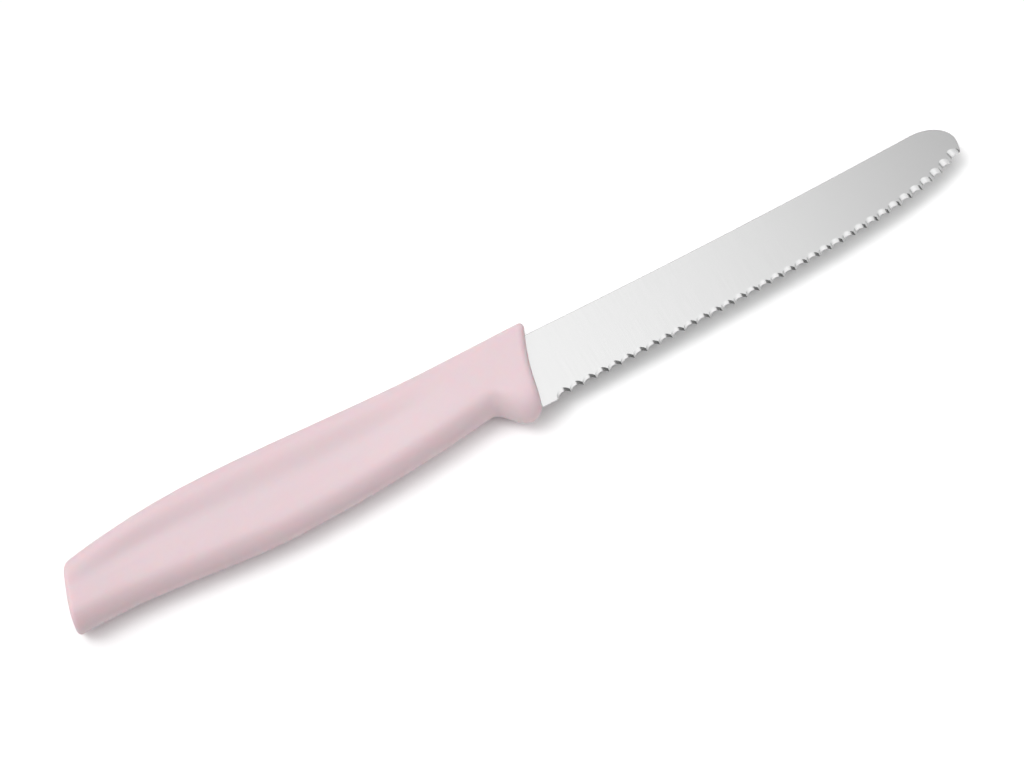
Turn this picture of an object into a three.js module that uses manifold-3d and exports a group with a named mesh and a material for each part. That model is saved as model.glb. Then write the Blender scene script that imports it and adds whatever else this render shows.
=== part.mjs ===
// Sandwich knife: one stamped steel blade with a wavy edge, held in an over-moulded polypropylene handle.
// Millimetres. The knife lies on its side: +X runs to the tip, +Y to the back, +Z up to the ground side.
// Heights and depths are measured from the knife's axis, blade lengths from just ahead of the handle's front.
import * as THREE from 'three';
import { mergeVertices } from 'three/addons/utils/BufferGeometryUtils.js';
import Module from 'manifold-3d';

const wasm = await Module();
wasm.setup();

const { lerp, smoothstep } = THREE.MathUtils;
const degrees = Math.PI / 180;
const quarterTurn = Math.PI / 2;

// Blade outline
const bladeLength = 103.4;
const spineHeightAtHandle = 8.1;
const spineHeightAtTip = 7.55;
const spineDip = 0.55;
const edgeDepth = 7.4;
const straightEdgeLength = 20;
const edgeCurveLead = 52;
const edgeCurveRun = 11.5;
const tipCornerSetback = 0.8;
const tipCornerDepth = 0.6;
const tipCornerAngle = 27 * degrees;
const tipCornerRounding = 0.45;
const noseLength = 8;
const noseHeight = 5.25;

// Sheet steel and its two flat-ground flanks
const sheetThickness = 1.2;
const grindAllowance = 0.05;
const edgeThickness = 0.42;
const grindOverrun = 3;

// Wavy edge, ground from the upper side only, in front of a short plain heel
const plainHeelLength = 3.58;
const wavePitch = 3;
const toothHeight = 0.55;
const toothSetback = 0.2;
const waveGrindAngle = 25 * degrees;
const wheelOverlap = 0.25;
const wheelClearance = 2.5;

// Tang, and the plastic that keys through its holes
const heelCover = 2.5;
const shoulderRun = 4.5;
const tangHeight = 10;
const tangEndHeight = 7.5;
const tangCoverAtNotch = 1.4;
const solidButtLength = 41.2;
const tangHoleDiameter = 4;
const tangHoleSpacing = 17;
const tangEndToHole = 8;
const mouldGap = 0.15;

// Handle, front face to butt
const handleLength = 104.15;
const handleFront = -0.05;
const handleThickness = 11;
const frontSlant = 17.4 * degrees;
const buttSlant = 17.5 * degrees;
const frontBow = 1.1;
const buttBow = 0.5;
const bowReach = 10;
const frontRounding = 1.7;
const buttRounding = 1;

// Back line of the handle
const backAboveSpine = 2.5;
const waistFromFront = 19.6;
const waistHeight = 10.65;
const humpFromButt = 27.7;
const humpHeight = 12.85;
const backHeightAtButt = 10.1;

// Belly line of the handle, with the finger notch behind the guard
const guardLipBelowEdge = 0.55;
const guardBelowEdge = 1.45;
const guardFromFront = 2.8;
const notchFromFront = 11.1;
const notchDepth = 3.9;
const notchBlend = 2.4;
const swellFromFront = 53.9;
const swellDepth = 7;
const tailFromButt = 7;
const tailDepth = 3.9;

// Cross-section of the handle: rolled back, thinner rolled belly, and along each side a land and a channel
const backRoll = 3.2;
const bellyRoll = 4;
const guardRoll = 5.6;
const bellyThinning = 1;
const landWidth = 1.4;
const channelDepth = 0.75;
const channelFromFront = 14.3;
const channelRunIn = 31;
const channelRunOut = 26;
const channelPastButt = 7.5;

// Smoothness of the curved faces
const outlineSteps = 16;
const waveSteps = 5;
const rollSteps = 7;
const channelSteps = 8;
const roundingSteps = 5;
const guardStationGap = 1.25;
const gripStationGap = 4;

// Solids: closed meshes that can be joined and cut

function toSolid(geometry) {
  const bare = new THREE.BufferGeometry();
  bare.setAttribute('position', geometry.getAttribute('position').clone());
  bare.setIndex(geometry.getIndex());
  const merged = mergeVertices(bare);
  return new wasm.Manifold(new wasm.Mesh({
    numProp: 3,
    vertProperties: new Float32Array(merged.getAttribute('position').array),
    triVerts: new Uint32Array(merged.getIndex().array),
  }));
}

function toGeometry(solid) {
  const mesh = solid.getMesh();
  const geometry = new THREE.BufferGeometry();
  geometry.setAttribute('position', new THREE.BufferAttribute(mesh.vertProperties, 3));
  geometry.setIndex(new THREE.BufferAttribute(mesh.triVerts, 1));
  geometry.computeVertexNormals();
  return geometry;
}

function plate(shape, thickness) {
  const geometry = new THREE.ExtrudeGeometry(shape, {
    depth: thickness, bevelEnabled: false, curveSegments: outlineSteps,
  });
  geometry.translate(0, 0, -thickness / 2);
  return toSolid(geometry);
}

// Where the handle's slanted front face stands at a height above the knife's axis
function frontFaceAt(height) {
  return handleFront + Math.tan(frontSlant) * height;
}

// Tang: the heel runs in behind the front face, steps in at two shoulders, tapers and ends round.
// A margin grows it into the pocket that the moulding leaves, with posts through the holes.

const tangEnd = handleFront - handleLength + solidButtLength;
const tangAxis = tangCoverAtNotch - notchDepth + tangHeight / 2;
const heelTop = new THREE.Vector2(frontFaceAt(spineHeightAtHandle) - heelCover, spineHeightAtHandle);
const heelBottom = new THREE.Vector2(frontFaceAt(-edgeDepth) - heelCover, -edgeDepth);

function tangHoles(margin) {
  const firstHole = tangEnd + tangEndToHole;
  const room = heelBottom.x - shoulderRun - tangHoleDiameter - firstHole;
  const holes = [];
  for (let along = 0; along <= room; along += tangHoleSpacing) {
    const hole = new THREE.Path();
    hole.absarc(firstHole + along, tangAxis, tangHoleDiameter / 2 - margin, 0, 2 * Math.PI);
    holes.push(hole);
  }
  return holes;
}

function drawTang(shape, margin) {
  const halfRoot = tangHeight / 2 + margin;
  const endRadius = tangEndHeight / 2 + margin;
  const endCentre = tangEnd + tangEndHeight / 2;
  const shoulder = shoulderRun + margin;
  shape.lineTo(heelTop.x - margin, heelTop.y + margin);
  shape.lineTo(heelTop.x - shoulder, tangAxis + halfRoot);
  shape.lineTo(endCentre, tangAxis + endRadius);
  shape.absarc(endCentre, tangAxis, endRadius, quarterTurn, 3 * quarterTurn);
  shape.lineTo(heelBottom.x - shoulder, tangAxis - halfRoot);
  shape.lineTo(heelBottom.x - margin, heelBottom.y - margin);
  shape.closePath();
  shape.holes.push(...tangHoles(margin));
}

// Blade outline: plain heel, long upward curve, round nose and a slightly dished spine

const edgeStart = new THREE.Vector2(frontFaceAt(-edgeDepth), -edgeDepth);
const edgeBend = new THREE.Vector2(straightEdgeLength, -edgeDepth);
const edgeBendControl = new THREE.Vector2(straightEdgeLength + edgeCurveLead, -edgeDepth);
const tipCorner = new THREE.Vector2(bladeLength - tipCornerSetback, -tipCornerDepth);
const tipDirection = new THREE.Vector2(Math.cos(tipCornerAngle), Math.sin(tipCornerAngle));
const tipCornerControl = tipCorner.clone().addScaledVector(tipDirection, -edgeCurveRun);
const noseCentre = new THREE.Vector2(bladeLength - noseLength, spineHeightAtTip - noseHeight);

function bladeOutline() {
  const cornerControl = tipCorner.clone().addScaledVector(tipDirection, tipCornerRounding);
  const spineMiddle = (noseCentre.x + heelTop.x) / 2;
  const spineControl = (spineHeightAtTip + spineHeightAtHandle) / 2 - 2 * spineDip;
  const shape = new THREE.Shape();
  shape.moveTo(heelBottom.x, heelBottom.y);
  shape.lineTo(edgeBend.x, edgeBend.y);
  shape.bezierCurveTo(
    edgeBendControl.x, edgeBendControl.y, tipCornerControl.x, tipCornerControl.y, tipCorner.x, tipCorner.y,
  );
  shape.bezierCurveTo(
    cornerControl.x, cornerControl.y,
    bladeLength, noseCentre.y - tipCornerRounding, bladeLength, noseCentre.y,
  );
  shape.absellipse(noseCentre.x, noseCentre.y, noseLength, noseHeight, 0, quarterTurn);
  shape.quadraticCurveTo(spineMiddle, spineControl, heelTop.x, heelTop.y);
  drawTang(shape, 0);
  return shape;
}

// What the flat grinding takes off one flank: a long wedge, thin at the spine and thick at the edge
function flankGrinding(side) {
  const halfSpine = sheetThickness / 2 - grindAllowance;
  const halfEdge = edgeThickness / 2;
  const slope = (halfSpine - halfEdge) / (spineHeightAtHandle + edgeDepth);
  const flankAt = (height) => side * (halfEdge + slope * (height + edgeDepth));
  const low = -edgeDepth - grindOverrun;
  const high = spineHeightAtHandle + grindOverrun;
  const clear = side * (sheetThickness + grindOverrun);
  const wedge = new THREE.Shape([
    new THREE.Vector2(low, flankAt(low)),
    new THREE.Vector2(high, flankAt(high)),
    new THREE.Vector2(high, clear),
    new THREE.Vector2(low, clear),
  ]);
  const grindLength = bladeLength - heelBottom.x + grindOverrun;
  const geometry = new THREE.ExtrudeGeometry(wedge, { depth: grindLength, bevelEnabled: false });
  geometry.applyMatrix4(new THREE.Matrix4().makeBasis(
    new THREE.Vector3(0, 1, 0), new THREE.Vector3(0, 0, 1), new THREE.Vector3(1, 0, 0),
  ));
  geometry.translate(heelBottom.x, 0, 0);
  return toSolid(geometry);
}

// One hollow of the wavy edge: a round-faced wheel, whose neighbours meet it in the tooth tips
const waveDepth = toothSetback + toothHeight;

function waveWheel() {
  const halfPitch = wavePitch / 2;
  const sagitta = toothHeight * Math.sin(waveGrindAngle);
  const wheelRadius = (halfPitch * halfPitch + sagitta * sagitta) / (2 * sagitta);
  const halfWidth = halfPitch + wheelOverlap;
  const spread = Math.asin(halfWidth / wheelRadius);
  const wheelTop = sheetThickness + wheelClearance;
  const face = new THREE.Shape();
  face.absarc(0, wheelRadius, wheelRadius, -quarterTurn - spread, -quarterTurn + spread);
  face.lineTo(halfWidth, wheelTop);
  face.lineTo(-halfWidth, wheelTop);
  const runOut = sheetThickness / Math.sin(waveGrindAngle);
  const geometry = new THREE.ExtrudeGeometry(face, {
    depth: wheelClearance + runOut, bevelEnabled: false, curveSegments: waveSteps,
  });
  geometry.translate(0, 0, -wheelClearance);
  return geometry;
}

// The wheel set on the edge, tilted so that it cuts right through there and runs out on the upper flank
function waveCut(wheel, point, tangent) {
  const up = new THREE.Vector3(0, 0, 1);
  const toHeel = new THREE.Vector3(-tangent.x, -tangent.y, 0);
  const inward = new THREE.Vector3(-tangent.y, tangent.x, 0);
  const stroke = inward.clone().multiplyScalar(Math.cos(waveGrindAngle))
    .addScaledVector(up, Math.sin(waveGrindAngle));
  const rise = up.clone().multiplyScalar(Math.cos(waveGrindAngle))
    .addScaledVector(inward, -Math.sin(waveGrindAngle));
  const hollow = new THREE.Vector3(point.x, point.y, -edgeThickness / 2).addScaledVector(inward, waveDepth);
  const placed = new THREE.Matrix4().makeBasis(toHeel, rise, stroke).setPosition(hollow);
  return toSolid(wheel.clone().applyMatrix4(placed));
}

// Hollows spaced along the edge itself, so that they keep their pitch round the curve
function wavyEdge() {
  const edge = new THREE.CurvePath();
  edge.add(new THREE.LineCurve(edgeStart, edgeBend));
  edge.add(new THREE.CubicBezierCurve(edgeBend, edgeBendControl, tipCornerControl, tipCorner));
  const edgeLength = edge.getLength();
  const waveCount = Math.floor((edgeLength - plainHeelLength) / wavePitch);
  const wheel = waveWheel();
  const cuts = [];
  for (let i = 0; i < waveCount; i += 1) {
    const share = (plainHeelLength + (i + 0.5) * wavePitch) / edgeLength;
    cuts.push(waveCut(wheel, edge.getPointAt(share), edge.getTangentAt(share)));
  }
  return cuts.reduce((joined, cut) => joined.add(cut));
}

function makeBlade() {
  const blank = plate(bladeOutline(), sheetThickness);
  const ground = blank.subtract(flankGrinding(1)).subtract(flankGrinding(-1));
  return toGeometry(ground.subtract(wavyEdge()));
}

// Handle: sections lofted from the front face to the butt

// A smooth line through stations, each with its distance behind the front, its height and its slope
function lineThrough(stations) {
  return (at) => {
    let i = 0;
    while (i < stations.length - 2 && at > stations[i + 1].at) {
      i += 1;
    }
    const from = stations[i];
    const to = stations[i + 1];
    const span = to.at - from.at;
    const t = (at - from.at) / span;
    const rise = (to.height - from.height) * t * t * (3 - 2 * t);
    const leave = t * (1 - t) * (1 - t) * span * from.slope;
    const arrive = t * t * (1 - t) * span * to.slope;
    return from.height + rise + leave - arrive;
  };
}

// The back dips a little at the waist, rises to the hump and falls as a parabola to the butt
const backLine = lineThrough([
  { at: 0, height: spineHeightAtHandle + backAboveSpine, slope: 0 },
  { at: waistFromFront, height: waistHeight, slope: 0 },
  { at: handleLength - humpFromButt, height: humpHeight, slope: 0 },
  { at: handleLength, height: backHeightAtButt, slope: -2 * (humpHeight - backHeightAtButt) / humpFromButt },
]);

// From the swell the belly climbs as a parabola until the finger notch turns it down into the guard
const guardDepth = edgeDepth + guardBelowEdge;
const guardLipDepth = edgeDepth + guardLipBelowEdge;
const climbLength = swellFromFront - notchFromFront;
const climb = (swellDepth - notchDepth) / climbLength ** 2;
const blendFromSwell = climbLength - notchBlend;
const blendDepth = swellDepth - climb * blendFromSwell ** 2;

const bellyLine = lineThrough([
  { at: 0, height: -guardLipDepth, slope: -2 * (guardDepth - guardLipDepth) / guardFromFront },
  { at: guardFromFront, height: -guardDepth, slope: 0 },
  { at: notchFromFront, height: -notchDepth, slope: 0 },
  { at: notchFromFront + notchBlend, height: -blendDepth, slope: -2 * climb * blendFromSwell },
  { at: swellFromFront, height: -swellDepth, slope: 0 },
  { at: handleLength - tailFromButt, height: -tailDepth, slope: 0 },
  { at: handleLength, height: -tailDepth, slope: 0 },
]);

// How fully the thinner belly and the channel are formed at a distance behind the front
function hollowing(at) {
  const channelEnd = handleLength + channelPastButt;
  const opening = smoothstep(at, channelFromFront, channelFromFront + channelRunIn);
  const closing = smoothstep(at, channelEnd - channelRunOut, channelEnd);
  return opening * (1 - closing);
}

// How far a section shrinks inside the rounding of an end
function endInset(at) {
  const inRounding = (radius, distance) => {
    const left = Math.max(radius - distance, 0);
    return radius - Math.sqrt(radius * radius - left * left);
  };
  return inRounding(frontRounding, at) + inRounding(buttRounding, handleLength - at);
}

// One closed section: up the upper side from belly to back, then down the lower side
function sectionAt(at) {
  const inset = endInset(at);
  const back = backLine(at) - inset;
  const belly = bellyLine(at) + inset;
  const hollow = hollowing(at);
  const backHalf = handleThickness / 2 - inset;
  const bellyHalf = backHalf - bellyThinning * hollow;
  const lowRoll = lerp(guardRoll, bellyRoll, smoothstep(at, guardFromFront, notchFromFront)) - inset;
  const highRoll = backRoll - inset;
  const channelLow = belly + lowRoll + landWidth;
  const channelHigh = back - highRoll;
  const side = [];
  for (let i = 1; i <= rollSteps; i += 1) {
    const turn = (i / rollSteps) * quarterTurn;
    side.push([belly + lowRoll * (1 - Math.cos(turn)), bellyHalf * Math.sin(turn)]);
  }
  for (let i = 0; i < channelSteps; i += 1) {
    const share = i / channelSteps;
    const dip = channelDepth * hollow * Math.sin(share * Math.PI) ** 2;
    const half = lerp(bellyHalf, backHalf, smoothstep(share, 0, 1));
    side.push([lerp(channelLow, channelHigh, share), half - dip]);
  }
  for (let i = rollSteps; i >= 1; i -= 1) {
    const turn = (i / rollSteps) * quarterTurn;
    side.push([back - highRoll * (1 - Math.cos(turn)), backHalf * Math.sin(turn)]);
  }
  const under = side.map(([y, z]) => [y, -z]).reverse();
  return [[belly, 0], ...side, [back, 0], ...under];
}

// How much of an end's bow shows at a height: all of it in the middle and nothing at the two corners
function bowShare(end, y) {
  const middle = (backLine(end) + bellyLine(end)) / 2;
  const half = (backLine(end) - bellyLine(end)) / 2;
  return Math.max(1 - ((y - middle) / half) ** 2, 0);
}

// Sections lean with the two slanted ends, and close to them they bow, in at the front and out at the butt
function placePoint(at, y, z) {
  const lean = lerp(Math.tan(frontSlant), Math.tan(buttSlant), at / handleLength);
  const dent = frontBow * bowShare(0, y) * (1 - smoothstep(at, 0, bowReach));
  const bulge = buttBow * bowShare(handleLength, y) * smoothstep(at, handleLength - bowReach, handleLength);
  return [handleFront - at - dent - bulge + lean * y, y, z];
}

// Close together round the ends and the guard, further apart along the grip
function handleStations() {
  const guardEnd = notchFromFront + 2 * notchBlend;
  const gripEnd = handleLength - buttRounding;
  const stations = [];
  const spread = (from, to, gap) => {
    const count = Math.ceil((to - from) / gap);
    for (let i = 0; i < count; i += 1) {
      stations.push(lerp(from, to, i / count));
    }
  };
  for (let i = 0; i < roundingSteps; i += 1) {
    stations.push(frontRounding * (1 - Math.cos((i / roundingSteps) * quarterTurn)));
  }
  spread(frontRounding, guardEnd, guardStationGap);
  spread(guardEnd, gripEnd, gripStationGap);
  for (let i = 0; i <= roundingSteps; i += 1) {
    stations.push(gripEnd + buttRounding * Math.sin((i / roundingSteps) * quarterTurn));
  }
  return stations;
}

function handleBody() {
  const sections = handleStations().map((at) => sectionAt(at).map(([y, z]) => placePoint(at, y, z)));
  const around = sections[0].length;
  const lastRow = (sections.length - 1) * around;
  const points = sections.flat();
  const faces = [];
  for (let i = 0; i < around; i += 1) {
    const next = (i + 1) % around;
    for (let row = 0; row < lastRow; row += around) {
      const ahead = row + around;
      faces.push(row + i, row + next, ahead + i, row + next, ahead + next, ahead + i);
    }
  }
  // Both end faces run straight across from the upper side to the lower one
  const across = (i) => (around - i) % around;
  for (let i = 0; i < around / 2; i += 1) {
    const next = i + 1;
    if (i > 0) {
      faces.push(next, i, across(i), lastRow + i, lastRow + next, lastRow + across(i));
    }
    if (next < around / 2) {
      faces.push(next, across(i), across(next));
      faces.push(lastRow + across(i), lastRow + next, lastRow + across(next));
    }
  }
  const geometry = new THREE.BufferGeometry();
  geometry.setAttribute('position', new THREE.Float32BufferAttribute(points.flat(), 3));
  geometry.setIndex(faces);
  return toSolid(geometry);
}

function tangPocket() {
  const outside = frontFaceAt(spineHeightAtHandle) + heelCover;
  const shape = new THREE.Shape();
  shape.moveTo(outside, -edgeDepth - mouldGap);
  shape.lineTo(outside, spineHeightAtHandle + mouldGap);
  drawTang(shape, mouldGap);
  return plate(shape, sheetThickness + 2 * mouldGap);
}

function makeHandle() {
  return toGeometry(handleBody().subtract(tangPocket()));
}

// Assembly, lying on its side with the middle of its footprint at the origin

const steel = new THREE.MeshStandardMaterial({ color: '#c6c8cb', roughness: 0.28, metalness: 1 });
const pinkPlastic = new THREE.MeshStandardMaterial({ color: '#e8ced3', roughness: 0.45, metalness: 0 });

const blade = new THREE.Mesh(makeBlade(), steel);
blade.name = 'blade';
const handle = new THREE.Mesh(makeHandle(), pinkPlastic);
handle.name = 'handle';

const knife = new THREE.Group();
knife.add(blade, handle);
const extent = new THREE.Box3().setFromObject(knife);
const footprint = extent.getCenter(new THREE.Vector3());
knife.position.set(-footprint.x, -footprint.y, -extent.min.z);

export default knife;
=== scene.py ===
import math

import bmesh
import bpy
from mathutils import Matrix, Vector


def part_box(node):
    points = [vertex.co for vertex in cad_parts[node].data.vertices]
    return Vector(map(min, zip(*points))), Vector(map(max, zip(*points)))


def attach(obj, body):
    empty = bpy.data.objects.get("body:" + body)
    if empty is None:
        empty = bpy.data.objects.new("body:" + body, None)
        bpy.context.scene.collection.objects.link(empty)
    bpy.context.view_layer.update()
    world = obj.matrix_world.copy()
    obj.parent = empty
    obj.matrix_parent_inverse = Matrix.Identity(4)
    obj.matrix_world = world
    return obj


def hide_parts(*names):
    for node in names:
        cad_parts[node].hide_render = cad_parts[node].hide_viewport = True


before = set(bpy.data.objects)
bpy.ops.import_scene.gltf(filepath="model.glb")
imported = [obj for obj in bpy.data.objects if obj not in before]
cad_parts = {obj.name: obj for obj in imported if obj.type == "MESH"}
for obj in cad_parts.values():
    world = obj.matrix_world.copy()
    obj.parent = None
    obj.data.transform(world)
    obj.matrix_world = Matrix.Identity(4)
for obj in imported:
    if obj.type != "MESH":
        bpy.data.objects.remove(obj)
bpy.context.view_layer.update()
print("frame loaded:", ", ".join(sorted(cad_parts)))

scene = bpy.context.scene
scene.view_settings.view_transform = "Standard"
mm = 0.001  # shapes are worked out in millimetres, Blender holds metres


def linear(code):  # sRGB hex to the linear colour that a socket takes
    shares = [int(code[i:i + 2], 16) / 255 for i in (1, 3, 5)]
    return [s / 12.92 if s <= 0.04045 else ((s + 0.055) / 1.055) ** 2.4 for s in shares] + [1.0]


def addNode(tree, kind, inputs=None, **settings):  # one node with its settings, values and links
    node = tree.nodes.new(kind)
    for name, value in settings.items():
        setattr(node, name, value)
    for name, value in (inputs or {}).items():
        if isinstance(value, bpy.types.NodeSocket):
            tree.links.new(value, node.inputs[name])
        else:
            node.inputs[name].default_value = value
    return node


def emptyMaterial(name):
    material = bpy.data.materials.new(name)
    material.use_nodes = True
    material.node_tree.nodes.clear()
    return material


def smoothStep(value, low, high):
    share = min(max((value - low) / (high - low), 0.0), 1.0)
    return share * share * (3 - 2 * share)


def mix(a, b, share):
    return a + (b - a) * share


# polypropylene, moulded in a finely spark-eroded tool: an even satin pink with soft highlights
# and a slight glow, in which red light travels furthest
plasticLook = {
    "colour": "#e2cdd2", "drift": "#e0cbd0", "driftSize": 28, "roughness": 0.46, "roughnessSpread": 0.06,
    "pigmentDetail": 2.0, "grain": 0.35, "grainDepth": 0.004, "grainDetail": 3.0, "grainBlur": 0.6,
    "grainStrength": 0.6, "ior": 1.49, "glow": 0.6, "glowReach": 3, "glowShares": (1.0, 0.1, 0.15),
}


def mouldedPolypropylene():
    look = plasticLook
    material = emptyMaterial("moulded polypropylene, satin")
    tree = material.node_tree
    place = addNode(tree, "ShaderNodeTexCoord").outputs["Object"]
    pigment = addNode(tree, "ShaderNodeTexNoise", {
        "Vector": place, "Scale": 1 / (look["driftSize"] * mm), "Detail": look["pigmentDetail"],
    })
    colour = addNode(tree, "ShaderNodeMix", {
        0: pigment.outputs["Fac"], 6: linear(look["colour"]), 7: linear(look["drift"]),
    }, data_type="RGBA")
    grain = addNode(tree, "ShaderNodeTexNoise", {  # real grain is near 0.1 mm, drawn coarser so that it shows
        "Vector": place, "Scale": 1 / (look["grain"] * mm),
        "Detail": look["grainDetail"], "Roughness": look["grainBlur"],
    })
    gloss = addNode(tree, "ShaderNodeMapRange", {
        "Value": grain.outputs["Fac"],
        "To Min": look["roughness"] - look["roughnessSpread"],
        "To Max": look["roughness"] + look["roughnessSpread"],
    })
    relief = addNode(tree, "ShaderNodeBump", {
        "Height": grain.outputs["Fac"],
        "Strength": look["grainStrength"], "Distance": look["grainDepth"] * mm,
    })
    surface = addNode(tree, "ShaderNodeBsdfPrincipled", {
        "Base Color": colour.outputs[2], "Roughness": gloss.outputs["Result"], "IOR": look["ior"],
        "Subsurface Weight": look["glow"], "Subsurface Radius": look["glowShares"],
        "Subsurface Scale": look["glowReach"] * mm, "Normal": relief.outputs["Normal"],
    })
    addNode(tree, "ShaderNodeOutputMaterial", {"Surface": surface.outputs["BSDF"]})
    return material


# stainless sheet: its ground flanks blur the room into a soft sheen,
# its wheel-cut hollows are brighter and sharper, its blanked rim is duller
steelLook = {
    "colour": "#c3c3c3", "flankRoughness": 0.2, "hollowRoughness": 0.19, "rimRoughness": 0.38,
    "lineWidth": 0.22, "lineLength": 9, "lineThrough": 2, "lineDepth": 0.0006, "rimLineDepth": 0.0012,
    "lineDetail": 4.0, "lineBlur": 0.55, "roughnessSpread": 0.05,
}


def groundStainless(name, roughness, depth):
    look = steelLook
    material = emptyMaterial(name)
    tree = material.node_tree
    place = addNode(tree, "ShaderNodeTexCoord").outputs["Object"]
    across = addNode(tree, "ShaderNodeMapping", {  # grinding lines run from the spine to the edge
        "Vector": place,
        "Scale": [1 / (look[size] * mm) for size in ("lineWidth", "lineLength", "lineThrough")],
    })
    lines = addNode(tree, "ShaderNodeTexNoise", {  # real lines are near 0.05 mm, drawn wider to show
        "Vector": across.outputs["Vector"], "Scale": 1.0,
        "Detail": look["lineDetail"], "Roughness": look["lineBlur"],
    })
    gloss = addNode(tree, "ShaderNodeMapRange", {
        "Value": lines.outputs["Fac"],
        "To Min": roughness - look["roughnessSpread"], "To Max": roughness + look["roughnessSpread"],
    })
    relief = addNode(tree, "ShaderNodeBump", {
        "Height": lines.outputs["Fac"], "Strength": 1.0, "Distance": depth * mm,
    })
    surface = addNode(tree, "ShaderNodeBsdfPrincipled", {
        "Base Color": linear(look["colour"]), "Metallic": 1.0,
        "Roughness": gloss.outputs["Result"], "Normal": relief.outputs["Normal"],
    })
    addNode(tree, "ShaderNodeOutputMaterial", {"Surface": surface.outputs["BSDF"]})
    return material


# blade: a rounded plate drawn as a filled curve, tapered like the grind, then cut by the row of wheels
bladeShape = {  # millimetres and degrees
    "length": 103.4, "spineAtHandle": 8.1, "spineAtTip": 7.55, "spineDip": 0.55,
    "edgeDepth": 7.4, "straightEdge": 20, "curveLead": 52, "curveRun": 11.5,
    "cornerSetback": 0.8, "cornerDepth": 0.6, "cornerAngle": 27, "cornerRounding": 0.45,
    "noseLength": 8, "noseHeight": 5.25,
    "sheet": 1.2, "grindAllowance": 0.05, "edgeThickness": 0.28, "rimRounding": 0.1,
    "plainHeel": 3.58, "wavePitch": 3, "toothHeight": 0.87, "toothSetback": 0.2,
    "waveAngle": 25, "wheelOverlap": 0.25, "wheelClearance": 2.5, "wheelSteps": 20,
    "heelCover": 2.5, "shoulderRun": 4.5, "tangHeight": 10, "tangEndHeight": 7.5,
    "tangAxis": 2.5, "tangEnd": -63, "holeDiameter": 4, "holeSpacing": 17, "endToHole": 8, "holes": 3,
    "curveSteps": 400, "outlineSteps": 20, "rimSteps": 2, "flankLean": 2, "creaseAngle": 12,
}
# the knife's own axes: x from where the axis leaves the handle,
# y from the axis to the back, z from the middle of the sheet
bladeLow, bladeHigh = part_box("blade")
toFrame = Matrix.Translation((
    bladeHigh.x - bladeShape["length"] * mm,
    bladeHigh.y - bladeShape["spineAtHandle"] * mm,
    (bladeLow.z + bladeHigh.z) / 2,
)) @ Matrix.Scale(mm, 4)


def halfSheet(y):  # half the thickness at a height, ground flat from the spine to the edge
    s = bladeShape
    gain = s["sheet"] / 2 - s["grindAllowance"] - s["edgeThickness"] / 2
    slope = gain / (s["spineAtHandle"] + s["edgeDepth"])
    return s["edgeThickness"] / 2 + slope * (y + s["edgeDepth"])


def placePiece(name, mesh, node, materials):
    mesh.transform(toFrame)
    mesh.name = name
    piece = bpy.data.objects.new(name, mesh)
    scene.collection.objects.link(piece)
    mesh.materials.clear()
    for material in materials:
        mesh.materials.append(material)
    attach(piece, "root")
    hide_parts(node)
    print(f"{name}: {len(mesh.polygons)} faces")


def cutLine():  # the straight heel and the curve up to the tip, as points a little way apart
    s = bladeShape
    angle = math.radians(s["cornerAngle"])
    bend = Vector((s["straightEdge"], -s["edgeDepth"]))
    corner = Vector((s["length"] - s["cornerSetback"], -s["cornerDepth"]))
    lead = bend + Vector((s["curveLead"], 0))
    run = corner - s["curveRun"] * Vector((math.cos(angle), math.sin(angle)))
    points = [Vector((frontFace(-s["edgeDepth"]), -s["edgeDepth"])), bend]
    for i in range(1, s["curveSteps"] + 1):
        t = i / s["curveSteps"]
        points.append(
            bend * (1 - t) ** 3 + lead * 3 * t * (1 - t) ** 2
            + run * 3 * t * t * (1 - t) + corner * t ** 3
        )
    return points, (bend, lead, run, corner)


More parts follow.
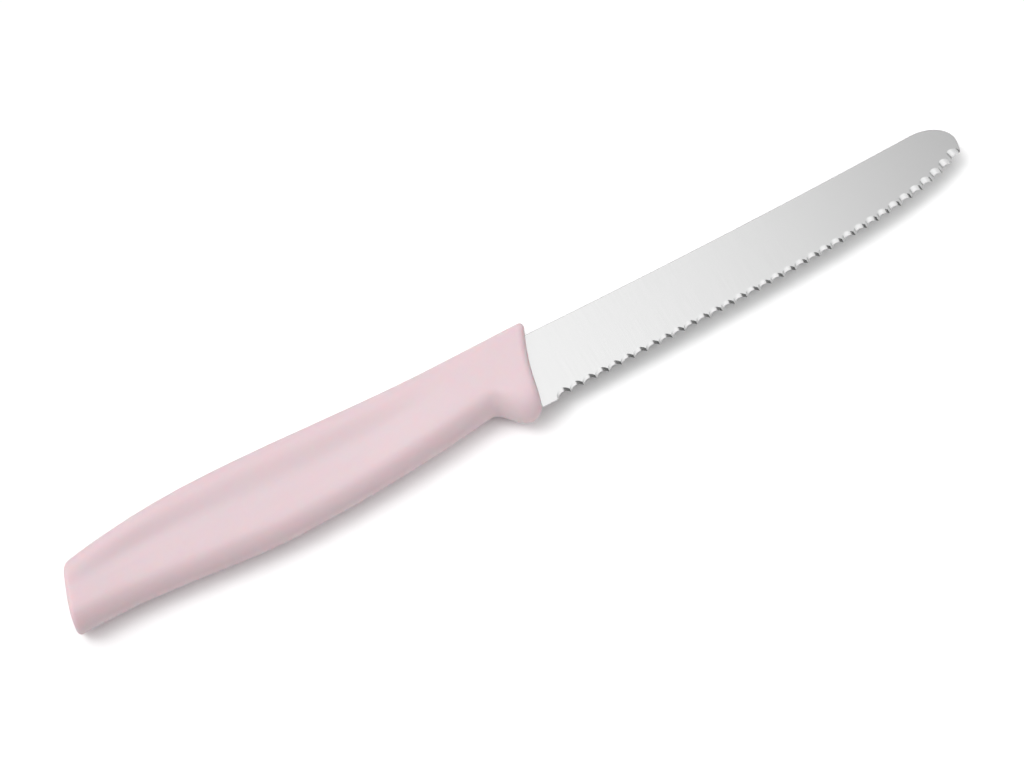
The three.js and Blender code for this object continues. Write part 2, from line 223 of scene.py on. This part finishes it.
def bladePlate():
    s = bladeShape
    _, (bend, lead, run, corner) = cutLine()
    angle = math.radians(s["cornerAngle"])
    nose = Vector((s["length"] - s["noseLength"], s["spineAtTip"] - s["noseHeight"]))
    heelTop = Vector((frontFace(s["spineAtHandle"]) - s["heelCover"], s["spineAtHandle"]))
    heelLow = Vector((frontFace(-s["edgeDepth"]) - s["heelCover"], -s["edgeDepth"]))
    spineMiddle = (s["spineAtTip"] + s["spineAtHandle"]) / 2
    spinePull = Vector(((nose.x + heelTop.x) / 2, spineMiddle - 2 * s["spineDip"]))
    tipTop = Vector((nose.x, s["spineAtTip"]))
    tipEnd = Vector((s["length"], nose.y))
    endRadius = s["tangEndHeight"] / 2
    tangEnd = Vector((s["tangEnd"] + endRadius, s["tangAxis"]))
    halfTang = Vector((0, s["tangHeight"] / 2))
    endUp = Vector((0, endRadius))
    endOut = Vector((-endRadius, 0))
    shoulder = Vector((-s["shoulderRun"], 0))
    quarterReach = 4 / 3 * (math.sqrt(2) - 1)  # reach of the control points that draws a quarter circle

    def along(a, b):  # control points and end of a straight stretch
        return [a + (b - a) / 3, a + (b - a) * 2 / 3, b]

    path = [heelLow, *along(heelLow, bend), lead, run, corner]
    path += [
        corner + s["cornerRounding"] * Vector((math.cos(angle), math.sin(angle))),
        tipEnd - Vector((0, s["cornerRounding"])), tipEnd,
        tipEnd + Vector((0, quarterReach * s["noseHeight"])),
        tipTop + Vector((quarterReach * s["noseLength"], 0)), tipTop,
        tipTop + (spinePull - tipTop) * 2 / 3, heelTop + (spinePull - heelTop) * 2 / 3, heelTop,
    ]
    rootTop = Vector((heelTop.x, s["tangAxis"])) + shoulder + halfTang
    rootLow = Vector((heelLow.x, s["tangAxis"])) + shoulder - halfTang
    path += along(heelTop, rootTop) + along(rootTop, tangEnd + endUp)
    outPull, upPull = endOut * quarterReach, endUp * quarterReach
    path += [tangEnd + endUp + outPull, tangEnd + endOut + upPull, tangEnd + endOut]
    path += [tangEnd + endOut - upPull, tangEnd - endUp + outPull, tangEnd - endUp]
    path += along(tangEnd - endUp, rootLow) + along(rootLow, heelLow)
    outlines = [path]
    for i in range(s["holes"]):
        centre = Vector((s["tangEnd"] + s["endToHole"] + i * s["holeSpacing"], s["tangAxis"]))
        hole = [centre + Vector((s["holeDiameter"] / 2, 0))]
        for quarter in range(4):
            out = Matrix.Rotation(quarter * math.pi / 2, 2) @ Vector((s["holeDiameter"] / 2, 0))
            turned = Vector((-out.y, out.x))
            hole += [centre + out + turned * quarterReach]
            hole += [centre + turned + out * quarterReach, centre + turned]
        outlines.append(hole)
    curve = bpy.data.curves.new("bladeOutline", "CURVE")
    curve.dimensions = "2D"
    curve.fill_mode = "BOTH"
    curve.resolution_u = s["outlineSteps"]
    curve.extrude = s["sheet"] / 2 - s["rimRounding"]
    curve.bevel_depth = s["rimRounding"]
    curve.bevel_resolution = s["rimSteps"]
    curve.offset = -s["rimRounding"]
    for outline in outlines:
        spline = curve.splines.new("BEZIER")
        knots = outline[:-1:3]
        spline.bezier_points.add(len(knots) - 1)
        spline.use_cyclic_u = True
        for i, knot in enumerate(spline.bezier_points):
            knot.handle_left_type = knot.handle_right_type = "FREE"
            knot.co = knots[i].to_3d()
            knot.handle_right = outline[3 * i + 1].to_3d()
            knot.handle_left = outline[3 * i - 1 if i else -2].to_3d()
    drawn = bpy.data.objects.new("bladeOutline", curve)
    scene.collection.objects.link(drawn)
    mesh = bpy.data.meshes.new_from_object(drawn.evaluated_get(bpy.context.evaluated_depsgraph_get()))
    bpy.data.objects.remove(drawn)
    for vertex in mesh.vertices:
        vertex.co.z *= halfSheet(vertex.co.y) / (s["sheet"] / 2)
    return mesh


def waveWheels():  # one tilted round-faced wheel for each hollow, spaced along the curved edge
    s = bladeShape
    points, _ = cutLine()
    lengths = [0.0]
    for a, b in zip(points, points[1:]):
        lengths.append(lengths[-1] + (b - a).length)
    tilt = math.radians(s["waveAngle"])
    halfPitch = s["wavePitch"] / 2
    sagitta = s["toothHeight"] * math.sin(tilt)
    radius = (halfPitch ** 2 + sagitta ** 2) / (2 * sagitta)
    halfWidth = halfPitch + s["wheelOverlap"]
    spread = math.asin(halfWidth / radius)
    top = s["sheet"] + s["wheelClearance"]
    face = []
    for i in range(s["wheelSteps"] + 1):
        turn = mix(-spread, spread, i / s["wheelSteps"])
        face.append((radius * math.sin(turn), radius * (1 - math.cos(turn))))
    face += [(halfWidth, top), (-halfWidth, top)]
    run = s["sheet"] / math.sin(tilt)
    built = bmesh.new()
    count = math.floor((lengths[-1] - s["plainHeel"]) / s["wavePitch"])
    for i in range(count):
        reach = s["plainHeel"] + (i + 0.5) * s["wavePitch"]
        k = next(j for j, length in enumerate(lengths) if length >= reach)
        part = (reach - lengths[k - 1]) / (lengths[k] - lengths[k - 1])
        point = points[k - 1].lerp(points[k], part)
        tangent = (points[k] - points[k - 1]).normalized()
        inward = Vector((-tangent.y, tangent.x, 0))
        stroke = inward * math.cos(tilt) + Vector((0, 0, math.sin(tilt)))
        rise = Vector((0, 0, math.cos(tilt))) - inward * math.sin(tilt)
        start = point.to_3d() + inward * (s["toothSetback"] + s["toothHeight"])
        start.z = -s["edgeThickness"] / 2
        rings = []
        for depth in (-s["wheelClearance"], run):
            rings.append([
                built.verts.new(start - tangent.to_3d() * x + rise * y + stroke * depth) for x, y in face
            ])
        for a in range(len(face)):
            b = (a + 1) % len(face)
            built.faces.new((rings[0][a], rings[0][b], rings[1][b], rings[1][a]))
        built.faces.new(reversed(rings[0]))
        built.faces.new(rings[1])
    bmesh.ops.recalc_face_normals(built, faces=built.faces)
    mesh = bpy.data.meshes.new("waveWheels")
    built.to_mesh(mesh)
    built.free()
    print(f"wavy edge: {count} hollows")
    return mesh


def makeBlade():
    look = steelLook
    flankSlot, hollowSlot, rimSlot = range(3)
    flank = groundStainless("stainless sheet, fine-ground flank", look["flankRoughness"], look["lineDepth"])
    hollow = groundStainless("stainless sheet, wheel-ground hollow", look["hollowRoughness"], 0)
    rim = groundStainless("stainless sheet, blanked rim", look["rimRoughness"], look["rimLineDepth"])
    plate = bpy.data.objects.new("plate", bladePlate())
    wheels = bpy.data.objects.new("wheels", waveWheels())
    for thing in (plate, wheels):
        scene.collection.objects.link(thing)
        thing.data.materials.clear()
        for material in (flank, hollow, rim):
            thing.data.materials.append(material)
    wheels.data.polygons.foreach_set("material_index", [hollowSlot] * len(wheels.data.polygons))
    level = math.cos(math.radians(bladeShape["flankLean"]))  # the rounded rim leans by more
    sides = [flankSlot if abs(f.normal.z) > level else rimSlot for f in plate.data.polygons]
    plate.data.polygons.foreach_set("material_index", sides)
    cut = plate.modifiers.new("waves", "BOOLEAN")
    cut.operation = "DIFFERENCE"
    cut.solver = "EXACT"
    cut.use_self = True
    cut.object = wheels
    mesh = bpy.data.meshes.new_from_object(plate.evaluated_get(bpy.context.evaluated_depsgraph_get()))
    for thing in (plate, wheels):
        bpy.data.objects.remove(thing)
    slots = [f.material_index for f in mesh.polygons]
    mesh.polygons.foreach_set("use_smooth", [slot != flankSlot for slot in slots])
    mesh.set_sharp_from_angle(angle=math.radians(bladeShape["creaseAngle"]))
    slotsBeside = {}
    for f in mesh.polygons:
        for key in f.edge_keys:
            slotsBeside.setdefault(key, set()).add(f.material_index)
    for edge in mesh.edges:  # keeps the ground flanks flat up to the hollows and the rim
        edge.use_edge_sharp = edge.use_edge_sharp or len(slotsBeside[edge.key]) > 1
    placePiece("serratedBlade", mesh, "blade", (flank, hollow, rim))
    mesh.polygons.foreach_set("material_index", slots)


# handle: leaning sections between a back line and a belly line, closed by a slotted front and a plain butt
handleShape = {  # millimetres and degrees
    "length": 104.15, "front": -0.05, "thickness": 11, "frontSlant": 17.4, "buttSlant": 17.5,
    "frontBow": 1.1, "buttBow": 0.5, "bowReach": 10, "frontRounding": 1.7, "buttRounding": 1,
    "backAtFront": 10.6, "waistAt": 19.6, "waistHeight": 10.65, "humpFromButt": 27.7, "humpHeight": 12.85,
    "backAtButt": 10.1,
    "guardLip": 7.95, "guardAt": 2.8, "guardDepth": 8.85,
    "notchAt": 11.1, "notchDepth": 3.9, "notchBlend": 2.4,
    "swellAt": 53.9, "swellDepth": 7, "tailFromButt": 7, "tailDepth": 3.9,
    "backRoll": 3.2, "bellyRoll": 4, "guardRoll": 5.6, "land": 1.4, "bellyThinning": 1,
    "channelDepth": 0.75, "channelAt": 14.3,
    "channelRunIn": 31, "channelRunOut": 26, "channelPastButt": 7.5,
    "slotGap": 0.03, "slotDepth": 2.2, "guardGap": 0.5, "gripGap": 1.2, "creaseAngle": 50,
    "rollSteps": 16, "channelSteps": 30, "roundingSteps": 9, "buttSteps": 8,
}


def frontFace(height):  # where the handle's slanted front stands at a height
    return handleShape["front"] + math.tan(math.radians(handleShape["frontSlant"])) * height


def lineThrough(stations):  # smooth line through (distance behind the front, height, slope)
    def height(at):
        i = 0
        while i < len(stations) - 2 and at > stations[i + 1][0]:
            i += 1
        (a, low, leave), (b, high, arrive) = stations[i], stations[i + 1]
        t = (at - a) / (b - a)
        bend = t * (1 - t) * (b - a)
        return low + (high - low) * t * t * (3 - 2 * t) + bend * ((1 - t) * leave - t * arrive)
    return height


def handleLines():
    s = handleShape
    length = s["length"]
    fall = s["humpHeight"] - s["backAtButt"]
    back = lineThrough([
        (0, s["backAtFront"], 0), (s["waistAt"], s["waistHeight"], 0),
        (length - s["humpFromButt"], s["humpHeight"], 0),
        (length, s["backAtButt"], -2 * fall / s["humpFromButt"]),
    ])
    climbLength = s["swellAt"] - s["notchAt"]
    climb = (s["swellDepth"] - s["notchDepth"]) / climbLength ** 2
    fromSwell = climbLength - s["notchBlend"]
    belly = lineThrough([
        (0, -s["guardLip"], -2 * (s["guardDepth"] - s["guardLip"]) / s["guardAt"]),
        (s["guardAt"], -s["guardDepth"], 0), (s["notchAt"], -s["notchDepth"], 0),
        (s["notchAt"] + s["notchBlend"], climb * fromSwell ** 2 - s["swellDepth"], -2 * climb * fromSwell),
        (s["swellAt"], -s["swellDepth"], 0), (length - s["tailFromButt"], -s["tailDepth"], 0),
        (length, -s["tailDepth"], 0),
    ])
    return back, belly


def makeHandle():
    s = handleShape
    length = s["length"]
    backLine, bellyLine = handleLines()
    lean = [math.tan(math.radians(s["frontSlant"])), math.tan(math.radians(s["buttSlant"]))]

    def inset(at):  # how far the section shrinks inside the rounded ends
        front = max(s["frontRounding"] - at, 0)
        butt = max(s["buttRounding"] - (length - at), 0)
        return (
            s["frontRounding"] - math.sqrt(s["frontRounding"] ** 2 - front ** 2)
            + s["buttRounding"] - math.sqrt(s["buttRounding"] ** 2 - butt ** 2)
        )

    def section(at):
        shrink = inset(at)
        back = backLine(at) - shrink
        belly = bellyLine(at) + shrink
        lowRoll = mix(s["guardRoll"], s["bellyRoll"], smoothStep(at, s["guardAt"], s["notchAt"])) - shrink
        highRoll = s["backRoll"] - shrink
        channelEnd = length + s["channelPastButt"]
        hollow = smoothStep(at, s["channelAt"], s["channelAt"] + s["channelRunIn"])
        hollow *= 1 - smoothStep(at, channelEnd - s["channelRunOut"], channelEnd)
        backHalf = s["thickness"] / 2 - shrink
        bellyHalf = backHalf - s["bellyThinning"] * hollow
        side = []
        for i in range(1, s["rollSteps"] + 1):
            turn = i / s["rollSteps"] * math.pi / 2
            side.append((belly + lowRoll * (1 - math.cos(turn)), bellyHalf * math.sin(turn)))
        for i in range(s["channelSteps"]):
            share = i / s["channelSteps"]
            y = mix(belly + lowRoll + s["land"], back - highRoll, share)
            dip = s["channelDepth"] * hollow * math.sin(share * math.pi) ** 2
            side.append((y, mix(bellyHalf, backHalf, smoothStep(share, 0, 1)) - dip))
        for i in range(s["rollSteps"], 0, -1):
            turn = i / s["rollSteps"] * math.pi / 2
            side.append((back - highRoll * (1 - math.cos(turn)), backHalf * math.sin(turn)))
        return [(belly, 0), *side, (back, 0), *[(y, -z) for y, z in reversed(side)]]

    def bowShare(end, y):  # all of an end's bow in its middle, nothing at its corners
        middle = (backLine(end) + bellyLine(end)) / 2
        half = (backLine(end) - bellyLine(end)) / 2
        return max(1 - ((y - middle) / half) ** 2, 0)

    def place(at, y, z):  # sections lean with the ends, which bow in at the front and out at the butt
        slant = mix(lean[0], lean[1], at / length)
        dent = s["frontBow"] * bowShare(0, y) * (1 - smoothStep(at, 0, s["bowReach"]))
        bulge = s["buttBow"] * bowShare(length, y) * smoothStep(at, length - s["bowReach"], length)
        return s["front"] - at - dent - bulge + slant * y, y, z

    def slot(ring):  # the mouth that grips the blade, with as many points as a section
        b = bladeShape
        low, high = -b["edgeDepth"] - s["slotGap"], b["spineAtHandle"] + s["slotGap"]
        count = (len(ring) - 2) // 2
        side = []
        for i in range(count):
            y = mix(low, high, i / (count - 1))
            side.append((y, halfSheet(y) + s["slotGap"]))
        return [(low, 0), *side, (high, 0), *[(y, -z) for y, z in reversed(side)]]

    turns = [i / s["roundingSteps"] * math.pi / 2 for i in range(s["roundingSteps"] + 1)]
    stations = [s["frontRounding"] * (1 - math.cos(turn)) for turn in turns[:-1]]
    guardEnd = s["notchAt"] + 3 * s["notchBlend"]  # sections stand closer as far as this
    gripEnd = length - s["buttRounding"]
    for low, high, gap in ((s["frontRounding"], guardEnd, s["guardGap"]), (guardEnd, gripEnd, s["gripGap"])):
        count = math.ceil((high - low) / gap)
        stations += [mix(low, high, i / count) for i in range(count)]
    stations += [gripEnd + s["buttRounding"] * math.sin(turn) for turn in turns]

    rows = [(at, section(at)) for at in stations]
    mouth = slot(rows[0][1])
    rows = [(s["slotDepth"], mouth), (0, mouth)] + rows
    buttMiddle = (backLine(length) + bellyLine(length)) / 2
    lastRing = rows[-1][1]
    for i in range(1, s["buttSteps"]):
        share = 1 - i / s["buttSteps"]
        ring = [(mix(buttMiddle, y, share), z * share) for y, z in lastRing]
        rows.append((length, ring))

    built = bmesh.new()
    rings = [[built.verts.new(place(at, y, z)) for y, z in ring] for at, ring in rows]
    around = len(rings[0])
    for near, far in zip(rings, rings[1:]):
        for i in range(around):
            k = (i + 1) % around
            built.faces.new((near[i], near[k], far[k], far[i]))
    built.faces.new(reversed(rings[0]))
    built.faces.new(rings[-1])
    bmesh.ops.recalc_face_normals(built, faces=built.faces)
    mesh = bpy.data.meshes.new("mouldedHandle")
    built.to_mesh(mesh)
    built.free()
    mesh.polygons.foreach_set("use_smooth", [True] * len(mesh.polygons))
    mesh.set_sharp_from_angle(angle=math.radians(s["creaseAngle"]))
    placePiece("mouldedHandle", mesh, "handle", (mouldedPolypropylene(),))


makeBlade()
makeHandle()

# camera: nearly overhead, tilted towards the cutting edge, for a picture of 1024 by 762
view = {
    "tilt": 22, "distance": 533.93, "lens": 92.364, "sensor": 36, "nearest": 10,
    "turn": 29.605, "datumRight": 4.80, "datumUp": 1.91,
}
turn = math.radians(view["turn"])
tilt = math.radians(view["tilt"])
pictureRight = Vector((math.cos(turn), -math.sin(turn), 0))
pictureUp = Vector((math.sin(turn), math.cos(turn), 0))
target = toFrame @ (-view["datumRight"] * pictureRight - view["datumUp"] * pictureUp)
camera = bpy.data.objects.new("camera", bpy.data.cameras.new("camera"))
camera.data.sensor_width = view["sensor"]
camera.data.lens = view["lens"]
camera.data.clip_start = view["nearest"] * mm
towardsCamera = Vector((0, 0, math.cos(tilt))) - math.sin(tilt) * pictureUp
camera.location = target + view["distance"] * mm * towardsCamera
camera.rotation_euler = (target - camera.location).to_track_quat("-Z", "Y").to_euler()
scene.collection.objects.link(camera)
scene.camera = camera

# studio: a pale sky, a box of light and its bright core over the knife, a softbox beyond the tip,
# a dark room by the viewer, and a white horizon for the camera and the steel
studio = {
    "sky": 0.60, "skyLow": 0.35, "skyHigh": 0.95,
    "boxes": [  # where each stands in the picture's terms, its level, the angles where it is full and faded
        {"right": -0.40, "up": 0.05, "level": 1.08, "full": 31.8, "faded": 43.9},
        {"right": -0.46, "up": 0.05, "level": 5.4, "full": 6, "faded": 18},
    ],
    "softbox": {"right": 315, "up": -51, "height": 280, "length": 480, "width": 250, "level": 1.2},
    "roomRight": 0.287, "roomDown": 0.958, "roomFrom": 0.46, "roomTo": 0.54,
    "roomLow": 0.40, "roomHigh": 0.55, "roomLevel": 0.14,
    "horizon": 1.0, "horizonLow": 0.40, "horizonHigh": 0.55,
    "floor": 0.98, "floorSeen": 0.08, "floorReach": 3, "floorCells": 8,
}


def seenOrMirrored(tree):  # 1 where the camera looks, straight or by way of the steel
    ray = addNode(tree, "ShaderNodeLightPath")
    seen = ray.outputs["Is Camera Ray"]
    for other in ("Is Glossy Ray", "Is Transmission Ray"):
        either = addNode(tree, "ShaderNodeMath", {0: seen, 1: ray.outputs[other]}, operation="MAXIMUM")
        seen = either.outputs["Value"]
    return seen


def makeStudio():
    world = bpy.data.worlds.new("studio")
    scene.world = world
    world.use_nodes = True
    tree = world.node_tree
    tree.nodes.clear()
    way = addNode(tree, "ShaderNodeTexCoord").outputs["Generated"]
    overhead = Vector((0, 0, 1))

    def softEdge(axis, low, high, start, end):  # goes from start to end as the view turns towards the axis
        towards = addNode(tree, "ShaderNodeVectorMath", {0: way, 1: axis}, operation="DOT_PRODUCT")
        return addNode(tree, "ShaderNodeMapRange", {
            "Value": towards.outputs["Value"],
            "From Min": low, "From Max": high, "To Min": start, "To Max": end,
        }, interpolation_type="SMOOTHSTEP").outputs["Result"]

    level = softEdge(overhead, studio["skyLow"], studio["skyHigh"], 0.0, studio["sky"])
    for box in studio["boxes"]:
        rise = math.sqrt(1 - box["right"] ** 2 - box["up"] ** 2)
        middle = box["right"] * pictureRight + box["up"] * pictureUp + rise * overhead
        faded, full = (math.cos(math.radians(box[edge])) for edge in ("faded", "full"))
        shine = softEdge(middle, faded, full, 0.0, box["level"])
        level = addNode(tree, "ShaderNodeMath", {0: level, 1: shine}, operation="ADD").outputs["Value"]
    viewer = studio["roomRight"] * pictureRight - studio["roomDown"] * pictureUp
    nearer = softEdge(viewer, studio["roomFrom"], studio["roomTo"], 0.0, 1.0 - studio["roomLevel"])
    higher = softEdge(overhead, studio["roomLow"], studio["roomHigh"], 0.0, 1.0)
    room = addNode(tree, "ShaderNodeMath", {0: nearer, 1: higher}, operation="MULTIPLY")
    lit = addNode(tree, "ShaderNodeMath", {0: 1.0, 1: room.outputs["Value"]}, operation="SUBTRACT")
    level = addNode(tree, "ShaderNodeMath", {0: level, 1: lit.outputs["Value"]}, operation="MULTIPLY")
    backdrop = softEdge(overhead, studio["horizonLow"], studio["horizonHigh"], studio["horizon"], 0.0)
    level = addNode(tree, "ShaderNodeMath", {
        0: backdrop, 1: seenOrMirrored(tree), 2: level.outputs["Value"],
    }, operation="MULTIPLY_ADD")
    glow = addNode(tree, "ShaderNodeBackground", {"Color": (1, 1, 1, 1), "Strength": level.outputs["Value"]})
    addNode(tree, "ShaderNodeOutputWorld", {"Surface": glow.outputs["Background"]})

    box = studio["softbox"]
    lamp = bpy.data.lights.new("softbox", "AREA")
    lamp.shape = "RECTANGLE"
    lamp.size = box["length"] * mm
    lamp.size_y = box["width"] * mm
    lamp.energy = box["level"] * math.pi * lamp.size * lamp.size_y
    holder = bpy.data.objects.new("softbox", lamp)
    holder.visible_camera = False
    stand = box["right"] * pictureRight + box["up"] * pictureUp + box["height"] * overhead
    holder.location = target + mm * stand
    scene.collection.objects.link(holder)

    built = bmesh.new()
    cells = studio["floorCells"]
    bmesh.ops.create_grid(built, x_segments=cells, y_segments=cells, size=studio["floorReach"])  # metres
    mesh = bpy.data.meshes.new("floor")
    built.to_mesh(mesh)
    built.free()
    floor = bpy.data.objects.new("floor", mesh)
    scene.collection.objects.link(floor)
    material = emptyMaterial("matt white paper sweep")  # an even white that keeps the shadow
    tree = material.node_tree
    white = addNode(tree, "ShaderNodeMath", {
        0: seenOrMirrored(tree), 1: studio["floorSeen"], 2: studio["floor"],
    }, operation="MULTIPLY_ADD")
    paper = addNode(tree, "ShaderNodeBsdfDiffuse", {"Color": white.outputs["Value"]})
    addNode(tree, "ShaderNodeOutputMaterial", {"Surface": paper.outputs["BSDF"]})
    mesh.materials.append(material)
    print("studio: sky, boxes, softbox and floor")


makeStudio()
